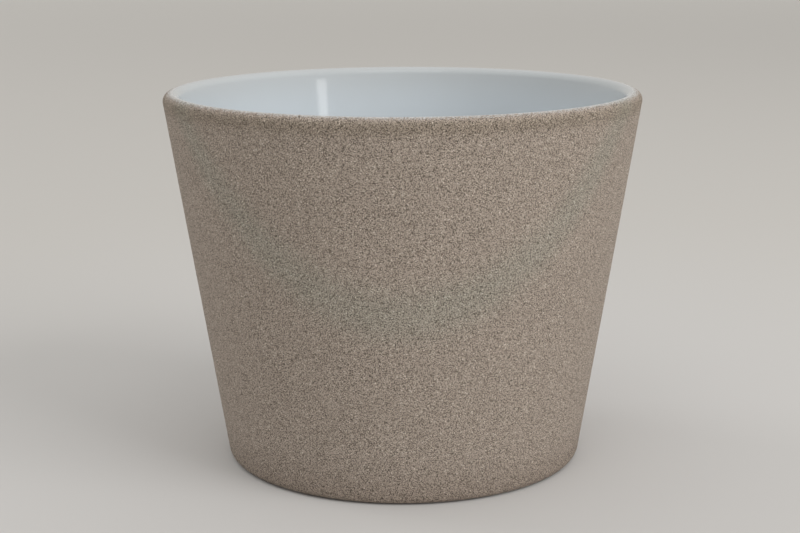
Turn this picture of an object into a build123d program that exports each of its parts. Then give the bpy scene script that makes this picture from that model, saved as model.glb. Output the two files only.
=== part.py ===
from build123d import *
from math import cos, radians, sin, tan
import os

# Cachepot: a tapered clay vessel, glazed white inside and coated with a matt granular finish outside.
# The origin is on the table at the centre of the foot, and +Z is the axis of the pot.

# Driving dimensions, in millimetres and degrees
rim_diameter = 140.0  # widest size, over the coating at the lip
pot_height = 110.0  # from the table to the crest of the lip
wall_taper = 9.0  # lean of the wall from the vertical
clay_wall = 4.2  # bare clay, measured square to the wall
clay_floor = 5.0  # bare clay between the foot recess and the cavity
cavity_fillet = 8.0  # inside corner between wall and floor
base_round = 3.2  # outside corner between wall and foot, in the clay
foot_width = 6.0  # flat of the foot ring that stands on the table
foot_recess = 2.0  # depth of the hollow inside the foot ring
recess_fillet = 1.2  # corner at the top of that hollow
foot_edge = 0.5  # broken inner edge of the foot ring
coating_thickness = 0.4  # granular coat on the outside
glaze_thickness = 0.4  # gloss glaze on the inside
seam_inset = 0.4  # the coat passes the crest of the lip by this much before the glaze begins
coating_clearance = 0.6  # bare strip of foot below the edge of the coat

# Places that follow from those sizes
lean = radians(wall_taper)
lip_radius = clay_wall / 2
lip_center = Vector(
    rim_diameter / 2 - coating_thickness - lip_radius,
    pot_height - coating_thickness - lip_radius,
)
across_wall = Vector(cos(lean), -sin(lean))
along_wall = Vector(sin(lean), cos(lean))
cavity_floor = foot_recess + clay_floor


def wall_radius(height, outset=0.0):
    """Radius at a height of a line along the wall, outset square to the middle of the clay."""
    return lip_center.X - (lip_center.Y - height) * tan(lean) + outset / cos(lean)


foot_outer_radius = wall_radius(base_round, lip_radius - base_round)
foot_inner_radius = foot_outer_radius - foot_width
seam_radius = lip_center.X - seam_inset
beyond = rim_diameter  # reaches past everything in the section

os.makedirs("parts", exist_ok=True)

# Clay vessel: one section, turned about the axis of the pot
lip_outside = lip_center + across_wall * lip_radius
lip_inside = lip_center - across_wall * lip_radius
lip_tip = lip_center + along_wall * lip_radius
base_corner = Vector(wall_radius(0, lip_radius), 0)
cavity_corner = Vector(wall_radius(cavity_floor, -lip_radius), cavity_floor)
recess_corner = Vector(foot_inner_radius, foot_recess)
foot_corner = Vector(foot_inner_radius, 0)

with BuildPart() as ceramic_body:
    with BuildSketch(Plane.XZ) as clay_section:
        with BuildLine():
            ThreePointArc(lip_outside, lip_tip, lip_inside)
            FilletPolyline(
                lip_inside,
                cavity_corner,
                (0, cavity_floor),
                (0, foot_recess),
                recess_corner,
                foot_corner,
                base_corner,
                lip_outside,
                radius=(cavity_fillet, 0, 0, recess_fillet, foot_edge, base_round),
            )
        make_face()
    revolve(axis=Axis.Z)
ceramic_body.part.label = "ceramic_body"
export_step(ceramic_body.part, "parts/ceramic_body.step")

# Granular coat: the clay's own outline grown by the coat, kept outside the middle of the wall
with BuildPart() as stone_coating:
    with BuildSketch(Plane.XZ) as coating_section:
        add(clay_section.sketch_local)
        offset(amount=coating_thickness)
        add(clay_section.sketch_local, mode=Mode.SUBTRACT)
        with BuildLine():
            Polyline(
                (seam_radius, pot_height + beyond),
                (seam_radius, lip_center.Y),
                (wall_radius(cavity_floor), cavity_floor),
                (foot_outer_radius, coating_clearance),
                (beyond, coating_clearance),
                (beyond, pot_height + beyond),
                close=True,
            )
        make_face(mode=Mode.INTERSECT)
    revolve(axis=Axis.Z)
stone_coating.part.label = "stone_coating"
export_step(stone_coating.part, "parts/stone_coating.step")

# Gloss glaze: the same outline grown by the glaze, kept inside the middle of the wall and the floor
floor_middle = cavity_floor - clay_floor / 2

with BuildPart() as interior_glaze:
    with BuildSketch(Plane.XZ) as glaze_section:
        add(clay_section.sketch_local)
        offset(amount=glaze_thickness)
        add(clay_section.sketch_local, mode=Mode.SUBTRACT)
        with BuildLine():
            Polyline(
                (seam_radius, pot_height + beyond),
                (seam_radius, lip_center.Y),
                (wall_radius(floor_middle), floor_middle),
                (0, floor_middle),
                (0, pot_height + beyond),
                close=True,
            )
        make_face(mode=Mode.INTERSECT)
    revolve(axis=Axis.Z)
interior_glaze.part.label = "interior_glaze"
export_step(interior_glaze.part, "parts/interior_glaze.step")
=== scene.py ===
from math import asin, cos, pi, radians, sin, tan, tau

import bmesh
import bpy
from bpy.props import FloatProperty, FloatVectorProperty, IntProperty, PointerProperty
from bpy.types import Operator, Panel, PropertyGroup
from mathutils import Matrix, Vector, noise


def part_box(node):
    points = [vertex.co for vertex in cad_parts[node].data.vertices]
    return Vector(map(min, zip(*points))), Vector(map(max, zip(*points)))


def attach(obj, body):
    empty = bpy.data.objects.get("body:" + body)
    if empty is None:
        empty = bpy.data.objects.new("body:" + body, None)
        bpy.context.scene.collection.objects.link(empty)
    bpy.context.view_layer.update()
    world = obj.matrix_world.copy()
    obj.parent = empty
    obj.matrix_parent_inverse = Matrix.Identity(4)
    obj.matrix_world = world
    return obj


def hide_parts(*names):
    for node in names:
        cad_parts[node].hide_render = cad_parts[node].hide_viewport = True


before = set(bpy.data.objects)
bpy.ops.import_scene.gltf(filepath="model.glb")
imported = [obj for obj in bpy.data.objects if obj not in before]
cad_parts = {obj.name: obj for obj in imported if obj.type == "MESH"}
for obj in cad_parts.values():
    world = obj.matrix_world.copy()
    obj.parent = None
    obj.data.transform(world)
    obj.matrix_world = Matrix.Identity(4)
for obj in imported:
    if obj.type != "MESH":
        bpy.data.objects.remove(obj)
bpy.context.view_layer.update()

bl_info = {
    "name": "Granular Cachepot",
    "version": (1, 0, 0),
    "blender": (4, 5, 0),
    "location": "View3D > Sidebar > Cachepot",
    "description": "Turns a glazed cachepot with a granular coat, and sets a plain stage for it",
    "category": "Add Mesh",
}

MM = 0.001
WELD = 1e-7
SHARP_CORNER = radians(40)
WEDGES = 24
FLOOR_CLOUD = 0.6
FLOOR_CLOUD_SHARE = 0.2
# The middle of a noise and of a random draw, and the width of the edge between two draws
MIDDLE = 0.5
DRAW_EDGE = 0.01

coat_low, coat_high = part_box("stone_coating")
_, clay_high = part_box("ceramic_body")
glaze_low, glaze_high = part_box("interior_glaze")


# Properties

def length(name, description, default):
    """A size in metres."""
    return FloatProperty(
        name=name, description=description, default=default, min=0.0, precision=5, unit="LENGTH"
    )


def angle(name, description, default):
    """An angle, kept in radians and shown in degrees."""
    return FloatProperty(name=name, description=description, default=default, subtype="ANGLE")


def share(name, description, default):
    """A share from nothing to all."""
    return FloatProperty(
        name=name, description=description, default=default, min=0.0, max=1.0, subtype="FACTOR"
    )


def color(name, description, default):
    """A color as light, not as screen values."""
    return FloatVectorProperty(
        name=name, description=description, default=default, min=0.0, max=1.0, subtype="COLOR"
    )


def power(name, description, default):
    """The power of a lamp in watts."""
    return FloatProperty(name=name, description=description, default=default, min=0.0, unit="POWER")


def spot(name, description, default):
    """A place in the frame of the pot."""
    return FloatVectorProperty(
        name=name, description=description, default=default, subtype="TRANSLATION", unit="LENGTH"
    )


def count(name, description, default):
    """A whole number of steps."""
    return IntProperty(name=name, description=description, default=default, min=3)


class PotSizes(PropertyGroup):
    """Sizes of the pot, those that the frame shows taken from it."""

    rim_radius: length("Rim radius", "Widest radius, over the coat at the lip", coat_high.x)
    pot_height: length("Pot height", "From the table to the crest of the lip", coat_high.z)
    wall_taper: angle("Wall taper", "Lean of the wall from the vertical", radians(9.0))
    clay_wall: length("Clay wall", "Bare clay, measured square to the wall", 4.2 * MM)
    cavity_floor: length("Cavity floor", "Height of the clay under the glaze", glaze_low.z)
    cavity_fillet: length("Cavity fillet", "Inside corner of the clay between wall and floor", 8.0 * MM)
    base_round: length("Base round", "Outside corner of the clay between wall and foot", 3.2 * MM)
    foot_width: length("Foot width", "Flat of the foot ring with its inner edge", 6.0 * MM)
    foot_recess: length("Foot recess", "Depth of the hollow inside the foot ring", 2.0 * MM)
    recess_fillet: length("Recess fillet", "Corner at the top of that hollow", 1.2 * MM)
    foot_edge: length("Foot edge", "Broken inner edge of the foot ring", 0.5 * MM)
    coat_thickness: length("Coat thickness", "Granular coat outside", coat_high.x - clay_high.x)
    coat_bottom: length("Coat bottom", "Height of the lower edge of the coat", coat_low.z)
    glaze_thickness: length("Glaze thickness", "Gloss glaze inside", 0.4 * MM)
    seam_radius: length("Seam radius", "Where coat and glaze meet on the lip", glaze_high.x)


class CoatLook(PropertyGroup):
    """Finish of the granular coat."""

    steps: count("Steps", "Steps round the pot", 600)
    rows: count("Rows", "Rows of faces up the wall", 125)
    dark_grain: color("Dark grain", "Dark end of the usual grains", (0.055, 0.040, 0.028))
    light_grain: color("Light grain", "Light end of the usual grains", (0.555, 0.471, 0.398))
    grain_size: length("Grain size", "Usual width of a grain", 0.25 * MM)
    quartz: color("Quartz", "Scattered pale grains", (0.80, 0.71, 0.62))
    quartz_share: share("Quartz share", "How many of the scattered grains are pale", 0.10)
    pit: color("Pit", "Scattered dark pits", (0.026, 0.019, 0.014))
    pit_share: share("Pit share", "How many of the scattered grains are pits", 0.30)
    speck_size: length("Speck size", "Distance between the scattered grains", 0.42 * MM)
    dust_size: length("Dust size", "Width of the finest grains, between the others", 0.12 * MM)
    cloud_size: length("Cloud size", "Width of the slow changes in tone", 14.0 * MM)
    grain_relief: length("Grain relief", "Height of the grains in the finish", 0.03 * MM)
    lump_size: length("Lump size", "Width of the coarse grains in the mesh", 0.7 * MM)
    lump_relief: length("Lump relief", "Height of the coarse grains in the mesh", 0.07 * MM)
    roughness: share("Roughness", "Usual roughness of a grain", 0.82)
    thin_start: angle("Thin start", "How far before the tip of the lip the coat thins", radians(31.0))
    thin_end: angle("Thin end", "How far past the tip of the lip the last grains lie", radians(14.0))
    bare_lip: color("Bare lip", "White that shows between the last grains", (0.60, 0.60, 0.595))
    drift_tint: color("Drift tint", "Cool cast of the drift across the front", (0.935, 1.0, 0.995))
    drift_height: length("Drift height", "Height of the drift over the axis", 171.0 * MM)
    drift_slope: FloatProperty(
        name="Drift slope", description="Rise of the drift to the back", default=1.85
    )
    drift_width: length("Drift width", "Half the height of the drift", 16.0 * MM)
    # Painted shade: a darker band just below the lip, where the lip shades the wall
    neck_painted_shade: color("Neck tint", "Denser coat just below the lip", (0.82, 0.81, 0.775))
    neck_height: length("Neck height", "Height of that denser band", 4.2 * MM)
    # Painted shade: the coat is darkened towards the foot, near the table
    foot_painted_shade: color("Foot tint", "Darker coat towards the foot", (0.71, 0.675, 0.65))
    foot_reach: length("Foot reach", "Height where that darker coat ends", 16.0 * MM)


class GlazeLook(PropertyGroup):
    """Finish of the gloss glaze."""

    steps: count("Steps", "Steps round the pot", 384)
    rows: count("Rows", "Rows of faces up the wall", 48)
    pool: color("Pool", "Thick glaze", (0.598, 0.645, 0.680))
    thin: color("Thin", "Thin glaze, over the lip", (0.516, 0.533, 0.535))
    thin_reach: length("Thin reach", "Depth below the crest where the glaze is thick", 14.0 * MM)
    cloud_size: length("Cloud size", "Width of the slow changes in tone", 22.0 * MM)
    ripple_size: length("Ripple size", "Width of the ripples in the mesh", 26.0 * MM)
    ripple_relief: length("Ripple relief", "Height of the ripples in the mesh", 0.05 * MM)
    peel_size: length("Peel size", "Width of the fine dimples", 2.6 * MM)
    peel_relief: length("Peel relief", "Depth of the fine dimples", 0.004 * MM)
    roughness: share("Roughness", "Usual roughness of the glaze", 0.09)
    fleck_size: length("Fleck size", "Distance between the flecks", 5.5 * MM)


class ClayLook(PropertyGroup):
    """Finish of the bare clay."""

    steps: count("Steps", "Steps round the pot", 264)
    pale: color("Pale", "Clean clay", (0.66, 0.58, 0.47))
    dusky: color("Dusky", "Clay with dust in its pores", (0.47, 0.39, 0.30))
    # Overspray stain and painted contact shade on the clay where the pot meets the table
    stain_and_contact_shade: color("Stain", "Clay just below the edge of the coat", (0.13, 0.09, 0.06))
    grit_size: length("Grit size", "Width of the grit", 0.6 * MM)
    cloud_size: length("Cloud size", "Width of the slow changes in tone", 9.0 * MM)
    relief: length("Relief", "Depth of the pores", 0.05 * MM)
    roughness: share("Roughness", "Usual roughness of the clay", 0.88)


class StageLook(PropertyGroup):
    """Floor, lamps and camera."""

    floor_width: length("Floor width", "Side of the floor", 12.0)
    # Painted pool of light: the floor is lighter round the pot than further out
    floor_color: color("Floor color", "Pale floor round the pot", (0.618, 0.606, 0.594))
    floor_beyond_light_pool: color("Floor edge", "Pale floor further away", (0.600, 0.580, 0.549))
    light_pool_radius: length("Floor fade", "Distance from the axis where the floor has its edge color", 0.45)
    floor_far: color("Floor far", "Floor where it meets the backdrop", (0.80, 0.78, 0.74))
    far_start: length("Far start", "Distance from the axis where the floor begins to pale", 1.2)
    far_end: length("Far end", "Distance from the axis where it is palest", 4.5)
    front_start: length("Front start", "Distance towards the camera where it also begins to pale", 0.9)
    front_end: length("Front end", "Distance towards the camera where it is palest", 2.0)
    backdrop: color("Backdrop", "What the camera sees past the floor", (0.56, 0.545, 0.515))
    sky_color: color("Sky color", "Tint of the light from all round", (1.0, 0.99, 0.97))
    sky: FloatProperty(name="Sky", description="Strength of the light from all round", default=0.674)
    key_power: power("Key power", "Soft lamp to the right of the camera", 10.7)
    key_place: spot("Key place", "Middle of the soft lamp", (1.12, -0.815, 0.855))
    fill_power: power("Fill power", "Soft lamp behind on the left", 7.7)
    fill_place: spot("Fill place", "Middle of the lamp behind", (-2.04, 0.95, 1.355))
    overhead_power: power("Overhead power", "Soft lamp above the camera", 2.05)
    overhead_place: spot("Overhead place", "Middle of the lamp above", (0.0, -0.8, 1.44))
    lamp_width: length("Lamp width", "Side of the soft lamps", 1.0)
    strip_power: power("Strip power", "Tall narrow lamp that the glaze mirrors", 1.03)
    strip_place: spot("Strip place", "Middle of the narrow lamp", (1.48, -1.38, 0.33))
    strip_width: length("Strip width", "Width of the narrow lamp", 0.20)
    strip_height: length("Strip height", "Height of the narrow lamp", 0.46)
    camera_place: spot("Camera place", "Where the camera stands", (0.0, -0.48171, 0.16186))
    camera_pitch: angle("Camera pitch", "How far the camera looks down", radians(12.354))
    camera_yaw: angle("Camera yaw", "How far the camera turns to the left", radians(0.110))
    camera_roll: angle("Camera roll", "How far the camera leans", radians(-0.230))
    camera_lens: FloatProperty(
        name="Camera lens", description="Focal length of the camera", default=73.64, unit="CAMERA"
    )


class CachepotSettings(PropertyGroup):
    """All that a user can change."""

    sizes: PointerProperty(type=PotSizes)
    coat: PointerProperty(type=CoatLook)
    glaze: PointerProperty(type=GlazeLook)
    clay: PointerProperty(type=ClayLook)
    stage: PointerProperty(type=StageLook)


# Shader sums

class Wire:
    """An output socket that takes part in sums, each of which adds a Math node."""

    def __init__(self, graph, socket):
        self.graph = graph
        self.socket = socket

    def math(self, operation, *values):
        names = ("Value", "Value_001", "Value_002")
        made = self.graph.node("ShaderNodeMath", {"operation": operation}, dict(zip(names, values)))
        return made["Value"]

    def __add__(self, other):
        return self.math("ADD", self, other)

    def __sub__(self, other):
        return self.math("SUBTRACT", self, other)

    def __rsub__(self, other):
        return self.math("SUBTRACT", other, self)

    def __mul__(self, other):
        return self.math("MULTIPLY", self, other)

    def __truediv__(self, other):
        return self.math("DIVIDE", self, other)

    def __rtruediv__(self, other):
        return self.math("DIVIDE", other, self)

    def __pow__(self, other):
        return self.math("POWER", self, other)

    def __rpow__(self, other):
        return self.math("POWER", other, self)

    def __abs__(self):
        return self.math("ABSOLUTE", self)

    __radd__ = __add__
    __rmul__ = __mul__

    def ramp(self, start, end):
        """A smooth step from 0 at the start to 1 at the end."""
        smooth = {"interpolation_type": "SMOOTHSTEP"}
        values = {"Value": self, "From Min": start, "From Max": end}
        return self.graph.node("ShaderNodeMapRange", smooth, values)["Result"]


class Graph:
    """Adds nodes to one shader tree."""

    def __init__(self, tree):
        self.tree = tree

    def plug(self, node, inputs):
        """Set or link the sockets of a node."""
        sockets = {socket.identifier: socket for socket in node.inputs}
        for name, value in inputs.items():
            if isinstance(value, Wire):
                self.tree.links.new(value.socket, sockets[name])
            else:
                sockets[name].default_value = value

    def node(self, kind, settings, inputs):
        """Add a node with its settings and then its sockets, and give its outputs by name."""
        made = self.tree.nodes.new(kind)
        for name, value in settings.items():
            setattr(made, name, value)
        self.plug(made, inputs)
        return {output.identifier: Wire(self, output) for output in made.outputs}

    def place(self):
        """Where a point lies on its piece, in metres."""
        return self.node("ShaderNodeTexCoord", {}, {})["Object"]

    def split(self, place):
        """The three coordinates of a place."""
        return self.node("ShaderNodeSeparateXYZ", {}, {"Vector": place}).values()

    def from_axis(self, across, back):
        """Distance from the axis of the pot."""
        return (across * across + back * back) ** 0.5

    def cells(self, place, size):
        """Grains of a size: distance from the middle of a grain, and three random draws for each."""
        made = self.node("ShaderNodeTexVoronoi", {}, {"Vector": place, "Scale": 1 / size})
        draws = self.node("ShaderNodeSeparateColor", {}, {"Color": made["Color"]})
        return made["Distance"], *draws.values()

    def noise(self, place, size, detail=2.0):
        """Soft noise about 0.5."""
        values = {"Vector": place, "Scale": 1 / size, "Detail": detail}
        return self.node("ShaderNodeTexNoise", {}, values)["Fac"]

    def blend(self, first, second, amount, kind="MIX"):
        """Mix two colors."""
        colors = {"data_type": "RGBA", "blend_type": kind}
        values = {"Factor_Float": amount, "A_Color": first, "B_Color": second}
        return self.node("ShaderNodeMix", colors, values)["Result_Color"]

    def bump(self, height, relief):
        """A normal from a height between 0 and 1."""
        values = {"Height": height, "Distance": relief, "Strength": 1.0}
        return self.node("ShaderNodeBump", {}, values)["Normal"]


class Finish(Graph):
    """A new material."""

    def __init__(self, name):
        self.material = bpy.data.materials.new(name)
        self.material.use_nodes = True
        super().__init__(self.material.node_tree)

    def surface(self, inputs):
        """Set or link the sockets of the shader, and give the material."""
        self.plug(self.tree.nodes["Principled BSDF"], inputs)
        return self.material


def opaque(tint):
    """A color with its alpha."""
    return (*tint, 1.0)


# Section of the pot

def point(radius, height):
    """A place on the section, in the XZ plane."""
    return Vector((radius, 0.0, height))


def around(center, distance, direction):
    """The place at a distance from a center, in a direction above the horizontal."""
    return center + point(distance * cos(direction), distance * sin(direction))


class PotSection:
    """Places on the section that follow from the sizes."""

    def __init__(self, sizes):
        self.sizes = sizes
        self.lean = sizes.wall_taper
        self.lip_radius = sizes.clay_wall / 2
        self.lip = point(
            sizes.rim_radius - sizes.coat_thickness - self.lip_radius,
            sizes.pot_height - sizes.coat_thickness - self.lip_radius,
        )
        self.base = self.beside_wall(sizes.base_round, self.lip_radius - sizes.base_round)
        self.cavity = self.beside_wall(
            sizes.cavity_floor + sizes.cavity_fillet, -self.lip_radius - sizes.cavity_fillet
        )
        self.foot_inner = self.base.x - sizes.foot_width

    def beside_wall(self, height, outset):
        """The place at a height that lies square to the middle of the wall at an outset."""
        middle = self.lip.x - (self.lip.z - height) * tan(self.lean)
        return point(middle + outset / cos(self.lean), height)

    def past_crest(self, radius):
        """How far past the crest the seam lies, on an arc of that radius about the lip."""
        return asin((self.lip.x - self.sizes.seam_radius) / radius)

    def coat_edge(self, radius):
        """How far below the horizontal the coat ends, on an arc of that radius about the base."""
        return asin((self.base.z - self.sizes.coat_bottom) / radius)


class Turning:
    """A section drawn point by point, and then turned about the axis of the pot."""

    def __init__(self, start):
        self.mesh = bmesh.new()
        self.start = start
        self.tip = bmesh.ops.create_vert(self.mesh, co=start)["vert"][0]

    def line(self, end, pieces=1):
        """Draw straight on to a place, in equal pieces."""
        step = (end - self.tip.co) / pieces
        for _ in range(pieces):
            self.tip = bmesh.ops.extrude_vert_indiv(self.mesh, verts=[self.tip])["verts"][0]
            bmesh.ops.translate(self.mesh, verts=[self.tip], vec=step)

    def arc(self, center, sweep, pieces):
        """Draw an arc about a center, clockwise in the front view where the sweep is above 0."""
        swept = bmesh.ops.spin(
            self.mesh, geom=[self.tip], cent=center, axis=(0, 1, 0), angle=sweep, steps=pieces
        )
        self.tip = next(item for item in swept["geom_last"] if isinstance(item, bmesh.types.BMVert))

    def close(self):
        """Draw straight back to the start."""
        self.line(self.start)

    def turn(self, steps):
        """Turn the section into a closed skin, one wedge by spinning and the others as its copies."""
        axis = {"cent": (0, 0, 0), "axis": (0, 0, 1)}
        wedge = tau / WEDGES
        section = self.mesh.verts[:] + self.mesh.edges[:]
        bmesh.ops.spin(self.mesh, geom=section, angle=wedge, steps=steps // WEDGES, **axis)
        first = self.mesh.verts[:] + self.mesh.edges[:] + self.mesh.faces[:]
        bmesh.ops.spin(
            self.mesh, geom=first, angle=tau - wedge, steps=WEDGES - 1, use_duplicate=True, **axis
        )
        bmesh.ops.remove_doubles(self.mesh, verts=self.mesh.verts[:], dist=WELD)
        bmesh.ops.recalc_face_normals(self.mesh, faces=self.mesh.faces[:])
        if not all(edge.is_manifold for edge in self.mesh.edges):
            raise RuntimeError("The turned section has an open seam")
        self.mesh.normal_update()
        return self.mesh


def add_piece(context, name, mesh, material, node):
    """Make an object of a mesh, in place of a node of the frame."""
    data = bpy.data.meshes.new(name)
    mesh.to_mesh(data)
    mesh.free()
    data.shade_smooth()
    data.set_sharp_from_angle(angle=SHARP_CORNER)
    data.materials.append(material)
    piece = bpy.data.objects.new(name, data)
    context.scene.collection.objects.link(piece)
    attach(piece, "root")
    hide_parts(node)
    return piece


# Clay vessel

def clay_mesh(sizes, steps):
    """The vessel from the middle of its cavity, over the lip and foot to the middle of its recess."""
    section = PotSection(sizes)
    lean = section.lean
    pen = Turning(point(0.0, sizes.cavity_floor))
    pen.line(point(section.cavity.x, sizes.cavity_floor), pieces=8)
    pen.arc(section.cavity, lean - pi / 2, pieces=10)
    pen.line(around(section.lip, section.lip_radius, pi - lean), pieces=12)
    pen.arc(section.lip, pi, pieces=16)
    pen.line(around(section.base, sizes.base_round, -lean), pieces=12)
    pen.arc(section.base, pi / 2 - lean, pieces=10)
    foot_corner = point(section.foot_inner + sizes.foot_edge, sizes.foot_edge)
    pen.line(point(foot_corner.x, 0.0), pieces=6)
    pen.arc(foot_corner, pi / 2, pieces=5)
    recess_corner = point(
        section.foot_inner - sizes.recess_fillet, sizes.foot_recess - sizes.recess_fillet
    )
    pen.line(point(section.foot_inner, recess_corner.z))
    pen.arc(recess_corner, -pi / 2, pieces=7)
    pen.line(point(0.0, sizes.foot_recess), pieces=10)
    return pen.turn(steps)


# Edge of a pore, which draws are pores, and what moves the clay from clean to dusty
PORE_EDGE = (0.0, 0.45)
PORE_DRAW = (0.7, 0.95)
DUST_USUAL = 0.35
DUST_BY_CLOUD = 1.4
DUST_BY_TONE = 0.25
DUST_BY_PORE = 0.5
CLAY_ROUGHNESS_RANGE = 0.12


def clay_finish(clay, sizes):
    """Bare fired clay with grit, pores and a little dust, darkened below the edge of the coat by
    overspray stain and painted contact shade.
    """
    finish = Finish("fired_clay")
    place = finish.place()
    across, back, _ = finish.split(place)
    # Overspray stain and painted contact shade: darken the clay outside the base round, where the pot
    # meets the table
    outward = finish.from_axis(across, back) - PotSection(sizes).base.x
    stain_and_contact_shade = outward.ramp(0.0, sizes.base_round / 2)
    distance, tone, depth, _ = finish.cells(place, clay.grit_size)
    cloud = finish.noise(place, clay.cloud_size, detail=4.0)
    pore = (1 - distance.ramp(*PORE_EDGE)) * depth.ramp(*PORE_DRAW)
    dust = (cloud - MIDDLE) * DUST_BY_CLOUD + (tone - MIDDLE) * DUST_BY_TONE + DUST_USUAL
    dust = dust + pore * DUST_BY_PORE
    bare = finish.blend(opaque(clay.pale), opaque(clay.dusky), dust)
    return finish.surface({
        "Base Color": finish.blend(bare, opaque(clay.stain_and_contact_shade), stain_and_contact_shade),
        "Roughness": clay.roughness + (cloud - MIDDLE) * CLAY_ROUGHNESS_RANGE,
        "Specular IOR Level": 0.3,
        "Normal": finish.bump(1 - pore, clay.relief),
    })


class CACHEPOT_OT_clay(Operator):
    """Turn the clay vessel with its lip and foot ring"""

    bl_idname = "cachepot.clay"
    bl_label = "Clay Vessel"

    def execute(self, context):
        pot = context.scene.cachepot
        mesh = clay_mesh(pot.sizes, pot.clay.steps)
        material = clay_finish(pot.clay, pot.sizes)
        add_piece(context, "clay_vessel", mesh, material, "ceramic_body")
        return {"FINISHED"}


# Sprayed grains

# Where a grain darkens from its middle to its rim, and how far each cause moves its shade
GRAIN_RIM = (-0.2, 0.95)
RIM_USUAL = 0.7
SHADE_USUAL = 0.62
SHADE_BY_RIM = 1.45
SHADE_BY_TONE = 0.1
SHADE_BY_DUST = 1.1
SHADE_POWER = 1.6
# Edge of a scattered speck, top of the painted shade band under the lip in its heights, and spread of
# the last grains
SPECK_EDGE = (0.2, 0.42)
NECK_TOP = (-0.45, -0.2)
LAST_GRAINS = (-0.3, 0.3)
HEIGHT_BY_DUST = 0.6


class SprayedGrains:
    """The grains of the coat, which thin out over the crest of the lip onto the glaze, with painted
    shade under the lip and towards the foot.
    """

    def __init__(self, finish, coat, sizes):
        section = PotSection(sizes)
        place = finish.place()
        across, back, height = finish.split(place)
        distance, tone, cover, self.gleam = finish.cells(place, coat.grain_size)
        dust = finish.noise(place, coat.dust_size, detail=1.0)
        cloud = finish.noise(place, coat.cloud_size, detail=4.0)
        shade = SHADE_USUAL - (distance.ramp(*GRAIN_RIM) - RIM_USUAL) * SHADE_BY_RIM
        shade = shade + (tone - MIDDLE) * SHADE_BY_TONE + (dust - MIDDLE) * SHADE_BY_DUST
        taupe = finish.blend(opaque(coat.dark_grain), opaque(coat.light_grain), shade ** SHADE_POWER)
        spot_distance, draw, _, _ = finish.cells(place, coat.speck_size)
        speck = 1 - spot_distance.ramp(*SPECK_EDGE)
        pale_draw = 1 - coat.quartz_share
        quartz = speck * draw.ramp(pale_draw, pale_draw + DRAW_EDGE)
        pit = speck * (1 - draw.ramp(coat.pit_share - DRAW_EDGE, coat.pit_share))
        taupe = finish.blend(taupe, opaque(coat.quartz), quartz)
        taupe = finish.blend(taupe, opaque(coat.pit), pit)
        drift_place = (height - coat.drift_height - back * coat.drift_slope) / coat.drift_width
        drift = (1 - abs(drift_place)).ramp(0.0, 1.0) * (MIDDLE + cloud)
        taupe = finish.blend(taupe, opaque(coat.drift_tint), drift, "MULTIPLY")
        # Painted shade: darken the coat towards the foot, near the table
        painted_foot_shade = 1 - height.ramp(-coat.foot_reach / 2, coat.foot_reach)
        taupe = finish.blend(taupe, opaque(coat.foot_painted_shade), painted_foot_shade, "MULTIPLY")
        # Painted shade: darken a band just below the lip, where the lip shades the wall
        below_lip = (section.lip.z - height) / coat.neck_height
        neck = below_lip.ramp(*NECK_TOP) * (1 - below_lip.ramp(0.0, 1.0))
        self.color = finish.blend(taupe, opaque(coat.neck_painted_shade), neck, "MULTIPLY")
        radius = finish.from_axis(across, back) - section.lip.x
        rise = height - section.lip.z
        inward = rise * sin(section.lean) - radius * cos(section.lean)
        upward = rise * cos(section.lean) + radius * sin(section.lean)
        past_tip = inward.math("ARCTAN2", inward, upward)
        thinned = (past_tip + coat.thin_start) / (coat.thin_start + coat.thin_end)
        self.bare = (thinned - cover).ramp(*LAST_GRAINS)
        self.height = 1 - distance + dust * HEIGHT_BY_DUST - pit


# Gloss glaze

def glaze_mesh(sizes, glaze):
    """The lining from the middle of the floor up to the seam on the lip, and back along the clay."""
    section = PotSection(sizes)
    lean = section.lean
    lip_radius = section.lip_radius + sizes.glaze_thickness
    floor = sizes.cavity_floor + sizes.glaze_thickness
    seam = section.past_crest(lip_radius)
    clay_seam = section.past_crest(section.lip_radius)
    corner = lean - pi / 2
    pen = Turning(point(0.0, floor))
    pen.line(point(section.cavity.x, floor), pieces=14)
    pen.arc(section.cavity, corner, pieces=12)
    pen.line(around(section.lip, lip_radius, pi - lean), glaze.rows)
    pen.arc(section.lip, pi / 2 - lean - seam, pieces=10)
    pen.line(around(section.lip, section.lip_radius, pi / 2 + clay_seam))
    pen.arc(section.lip, clay_seam + lean - pi / 2, pieces=6)
    pen.line(around(section.cavity, sizes.cavity_fillet, -lean), pieces=4)
    pen.arc(section.cavity, -corner, pieces=6)
    pen.line(point(0.0, sizes.cavity_floor), pieces=4)
    mesh = pen.turn(glaze.steps)
    for vert in mesh.verts:
        inside = vert.normal.z > 0 or vert.normal.dot(Vector((vert.co.x, vert.co.y, 0.0))) < 0
        fade = min((section.lip.z - vert.co.z) / sizes.cavity_fillet, 1.0)
        if inside and fade > 0:
            ripple = noise.noise(vert.co / glaze.ripple_size)
            vert.co += vert.normal * ripple * glaze.ripple_relief * fade
    return mesh


# Edge of a fleck, which draws are flecks, and how far each cause moves the glaze from thin to thick
FLECK_EDGE = (0.02, 0.06)
FLECK_DRAW = (0.6, 1.0)
THICKNESS_BY_CLOUD = 0.2
THICKNESS_BY_FLECK = 0.3
GLAZE_ROUGHNESS_RANGE = 0.08
ROUGHER_UNDER_GRAINS = 0.5


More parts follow.
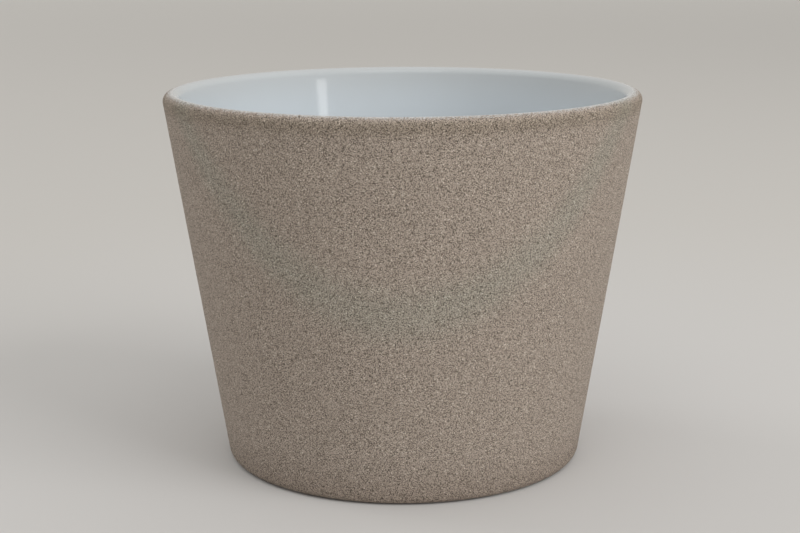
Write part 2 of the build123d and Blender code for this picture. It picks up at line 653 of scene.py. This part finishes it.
def glaze_finish(glaze, coat, sizes):
    """White gloss glaze, bluer where it is thick, with fine dimples and the last grains of the coat."""
    finish = Finish("white_glaze")
    grains = SprayedGrains(finish, coat, sizes)
    place = finish.place()
    _, _, height = finish.split(place)
    cloud = finish.noise(place, glaze.cloud_size, detail=3.0)
    distance, tone, _, _ = finish.cells(place, glaze.fleck_size)
    fleck = (1 - distance.ramp(*FLECK_EDGE)) * tone.ramp(*FLECK_DRAW)
    thickness = (sizes.pot_height - height).ramp(-sizes.clay_wall, glaze.thin_reach)
    thickness = thickness + (cloud - MIDDLE) * THICKNESS_BY_CLOUD - fleck * THICKNESS_BY_FLECK
    white = finish.blend(opaque(glaze.thin), opaque(glaze.pool), thickness)
    peel = finish.noise(place, glaze.peel_size, detail=1.0)
    roughness = glaze.roughness + (cloud - MIDDLE) * GLAZE_ROUGHNESS_RANGE
    return finish.surface({
        "Base Color": finish.blend(grains.color, white, grains.bare),
        "Roughness": roughness + (1 - grains.bare) * ROUGHER_UNDER_GRAINS,
        "IOR": 1.5,
        "Normal": finish.bump(peel, glaze.peel_relief),
    })


class CACHEPOT_OT_glaze(Operator):
    """Turn the white gloss lining"""

    bl_idname = "cachepot.glaze"
    bl_label = "Gloss Glaze"

    def execute(self, context):
        pot = context.scene.cachepot
        mesh = glaze_mesh(pot.sizes, pot.glaze)
        material = glaze_finish(pot.glaze, pot.coat, pot.sizes)
        add_piece(context, "glaze_lining", mesh, material, "interior_glaze")
        return {"FINISHED"}


# Granular coat

def coat_mesh(sizes, coat):
    """The coat from the seam on the lip down to its lower edge, and back along the clay."""
    section = PotSection(sizes)
    lean = section.lean
    lip_radius = section.lip_radius + sizes.coat_thickness
    base_radius = sizes.base_round + sizes.coat_thickness
    seam = section.past_crest(lip_radius)
    clay_seam = section.past_crest(section.lip_radius)
    clay_edge = section.coat_edge(sizes.base_round)
    quarter = pi / 2 + lean
    pen = Turning(around(section.lip, lip_radius, pi / 2 + seam))
    pen.arc(section.lip, quarter + seam, pieces=12)
    pen.line(around(section.base, base_radius, -lean), coat.rows)
    pen.arc(section.base, section.coat_edge(base_radius) - lean, pieces=6)
    pen.line(around(section.base, sizes.base_round, -clay_edge))
    pen.arc(section.base, lean - clay_edge, pieces=3)
    pen.line(around(section.lip, section.lip_radius, -lean))
    pen.arc(section.lip, -quarter - clay_seam, pieces=6)
    pen.close()
    mesh = pen.turn(coat.steps)
    for vert in mesh.verts:
        outside = vert.normal.dot(Vector((vert.co.x, vert.co.y, 0.0))) > 0
        below_crest = (sizes.pot_height - vert.co.z) / (2 * lip_radius)
        above_edge = (vert.co.z - sizes.coat_bottom) / sizes.base_round
        fade = min(below_crest, above_edge, 1.0)
        if outside and fade > 0:
            coarse = noise.noise(vert.co / coat.lump_size)
            single = noise.cell(vert.co / coat.lump_size)
            # Depth of a grain in shares of the relief, from 0 to 1.5
            sunk = 0.5 - 0.25 * (coarse + 2 * single - 1)
            vert.co -= vert.normal * coat.lump_relief * fade * max(sunk, 0.0)
    return mesh


COAT_ROUGHNESS_RANGE = 0.3
SMOOTHER_WHEN_BARE = 0.5


def coat_finish(coat, sizes):
    """Matt grains of light and dark taupe, which thin out to white over the crest of the lip."""
    finish = Finish("granular_coat")
    grains = SprayedGrains(finish, coat, sizes)
    roughness = coat.roughness + (grains.gleam - MIDDLE) * COAT_ROUGHNESS_RANGE
    return finish.surface({
        "Base Color": finish.blend(grains.color, opaque(coat.bare_lip), grains.bare),
        "Roughness": roughness - grains.bare * SMOOTHER_WHEN_BARE,
        "Specular IOR Level": 0.35,
        "Normal": finish.bump(grains.height * (1 - grains.bare), coat.grain_relief),
    })


class CACHEPOT_OT_coat(Operator):
    """Turn the granular coat"""

    bl_idname = "cachepot.coat"
    bl_label = "Granular Coat"

    def execute(self, context):
        pot = context.scene.cachepot
        mesh = coat_mesh(pot.sizes, pot.coat)
        material = coat_finish(pot.coat, pot.sizes)
        add_piece(context, "granular_coat", mesh, material, "stone_coating")
        return {"FINISHED"}


# Stage

def floor_finish(stage):
    """Pale matt paper with a faint cloud and a painted pool of light round the pot, paler in front and
    where it meets the backdrop.
    """
    finish = Finish("floor_paper")
    place = finish.place()
    cloud = finish.noise(place, FLOOR_CLOUD)
    across, back, _ = finish.split(place)
    away = finish.from_axis(across, back)
    # Painted pool of light: the floor is lighter round the pot and darker further out
    edge = away.ramp(0.0, stage.light_pool_radius) + (cloud - MIDDLE) * FLOOR_CLOUD_SHARE
    shade = finish.blend(opaque(stage.floor_color), opaque(stage.floor_beyond_light_pool), edge)
    in_front = (0 - back).ramp(stage.front_start, stage.front_end)
    far = away.ramp(stage.far_start, stage.far_end) + in_front
    shade = finish.blend(shade, opaque(stage.floor_far), far)
    return finish.surface({"Base Color": shade, "Roughness": 0.9, "Specular IOR Level": 0.2})


def add_floor(context, stage):
    """A wide flat floor under the pot."""
    mesh = bmesh.new()
    bmesh.ops.create_grid(mesh, x_segments=1, y_segments=1, size=stage.floor_width / 2)
    data = bpy.data.meshes.new("floor")
    mesh.to_mesh(data)
    mesh.free()
    data.materials.append(floor_finish(stage))
    floor = bpy.data.objects.new("floor", data)
    context.scene.collection.objects.link(floor)


def add_sky(context, stage):
    """Even light from all round, and a pale backdrop for what the camera and the gloss see."""
    world = bpy.data.worlds.new("studio")
    world.use_nodes = True
    graph = Graph(world.node_tree)
    rays = graph.node("ShaderNodeLightPath", {}, {})
    light = opaque(Vector(stage.sky_color) * stage.sky)
    direct = rays["Is Camera Ray"] + rays["Is Glossy Ray"] + rays["Is Transmission Ray"]
    seen = graph.blend(light, opaque(stage.backdrop), direct)
    graph.plug(world.node_tree.nodes["Background"], {"Color": seen})
    context.scene.world = world


def add_lamp(context, name, place, target, width, height, watts):
    """A soft flat lamp that faces a target."""
    lamp = bpy.data.lights.new(name, "AREA")
    lamp.shape = "RECTANGLE"
    lamp.size = width
    lamp.size_y = height
    lamp.energy = watts
    stand = bpy.data.objects.new(name, lamp)
    stand.location = place
    stand.rotation_euler = (Vector(target) - Vector(place)).to_track_quat("-Z", "Y").to_euler()
    context.scene.collection.objects.link(stand)
    return stand


def add_camera(context, stage):
    """The camera at the viewing angle of the photograph."""
    lens = bpy.data.cameras.new("camera")
    lens.sensor_width = 36.0
    lens.lens = stage.camera_lens
    lens.clip_start = 0.01
    stand = bpy.data.objects.new("camera", lens)
    stand.matrix_world = (
        Matrix.Translation(stage.camera_place)
        @ Matrix.Rotation(stage.camera_yaw, 4, "Z")
        @ Matrix.Rotation(pi / 2 - stage.camera_pitch, 4, "X")
        @ Matrix.Rotation(stage.camera_roll, 4, "Z")
    )
    context.scene.collection.objects.link(stand)
    context.scene.camera = stand


class CACHEPOT_OT_stage(Operator):
    """Set a pale floor, soft lamps and the camera"""

    bl_idname = "cachepot.stage"
    bl_label = "Stage"

    def execute(self, context):
        pot = context.scene.cachepot
        stage = pot.stage
        middle = point(0.0, pot.sizes.pot_height / 2)
        add_floor(context, stage)
        add_sky(context, stage)
        width = stage.lamp_width
        key = add_lamp(context, "key", stage.key_place, middle, width, width, stage.key_power)
        fill = add_lamp(context, "fill", stage.fill_place, middle, width, width, stage.fill_power)
        key.visible_glossy = fill.visible_glossy = False
        add_lamp(context, "overhead", stage.overhead_place, middle, width, width, stage.overhead_power)
        add_lamp(
            context, "strip", stage.strip_place, point(0.0, stage.strip_place[2]),
            stage.strip_width, stage.strip_height, stage.strip_power,
        )
        add_camera(context, stage)
        context.scene.view_settings.view_transform = "Standard"
        return {"FINISHED"}


class CACHEPOT_PT_sidebar(Panel):
    """Buttons and settings of the pot"""

    bl_idname = "CACHEPOT_PT_sidebar"
    bl_label = "Cachepot"
    bl_space_type = "VIEW_3D"
    bl_region_type = "UI"
    bl_category = "Cachepot"

    def draw(self, context):
        for operator in OPERATORS:
            self.layout.operator(operator.bl_idname)
        for title in CachepotSettings.__annotations__:
            group = getattr(context.scene.cachepot, title)
            box = self.layout.box()
            box.label(text=title.capitalize())
            for setting in type(group).__annotations__:
                box.prop(group, setting)


GROUPS = (PotSizes, CoatLook, GlazeLook, ClayLook, StageLook, CachepotSettings)
OPERATORS = (CACHEPOT_OT_clay, CACHEPOT_OT_glaze, CACHEPOT_OT_coat, CACHEPOT_OT_stage)
CLASSES = GROUPS + OPERATORS + (CACHEPOT_PT_sidebar,)


def register():
    """Add the classes and the settings of the scene."""
    for item in CLASSES:
        bpy.utils.register_class(item)
    bpy.types.Scene.cachepot = PointerProperty(type=CachepotSettings)


def unregister():
    """Take the settings and the classes away again."""
    del bpy.types.Scene.cachepot
    for item in reversed(CLASSES):
        bpy.utils.unregister_class(item)


def main():
    """Build the pot and its stage."""
    register()
    bpy.ops.cachepot.clay()
    bpy.ops.cachepot.glaze()
    bpy.ops.cachepot.coat()
    bpy.ops.cachepot.stage()


if __name__ == "__main__":
    main()
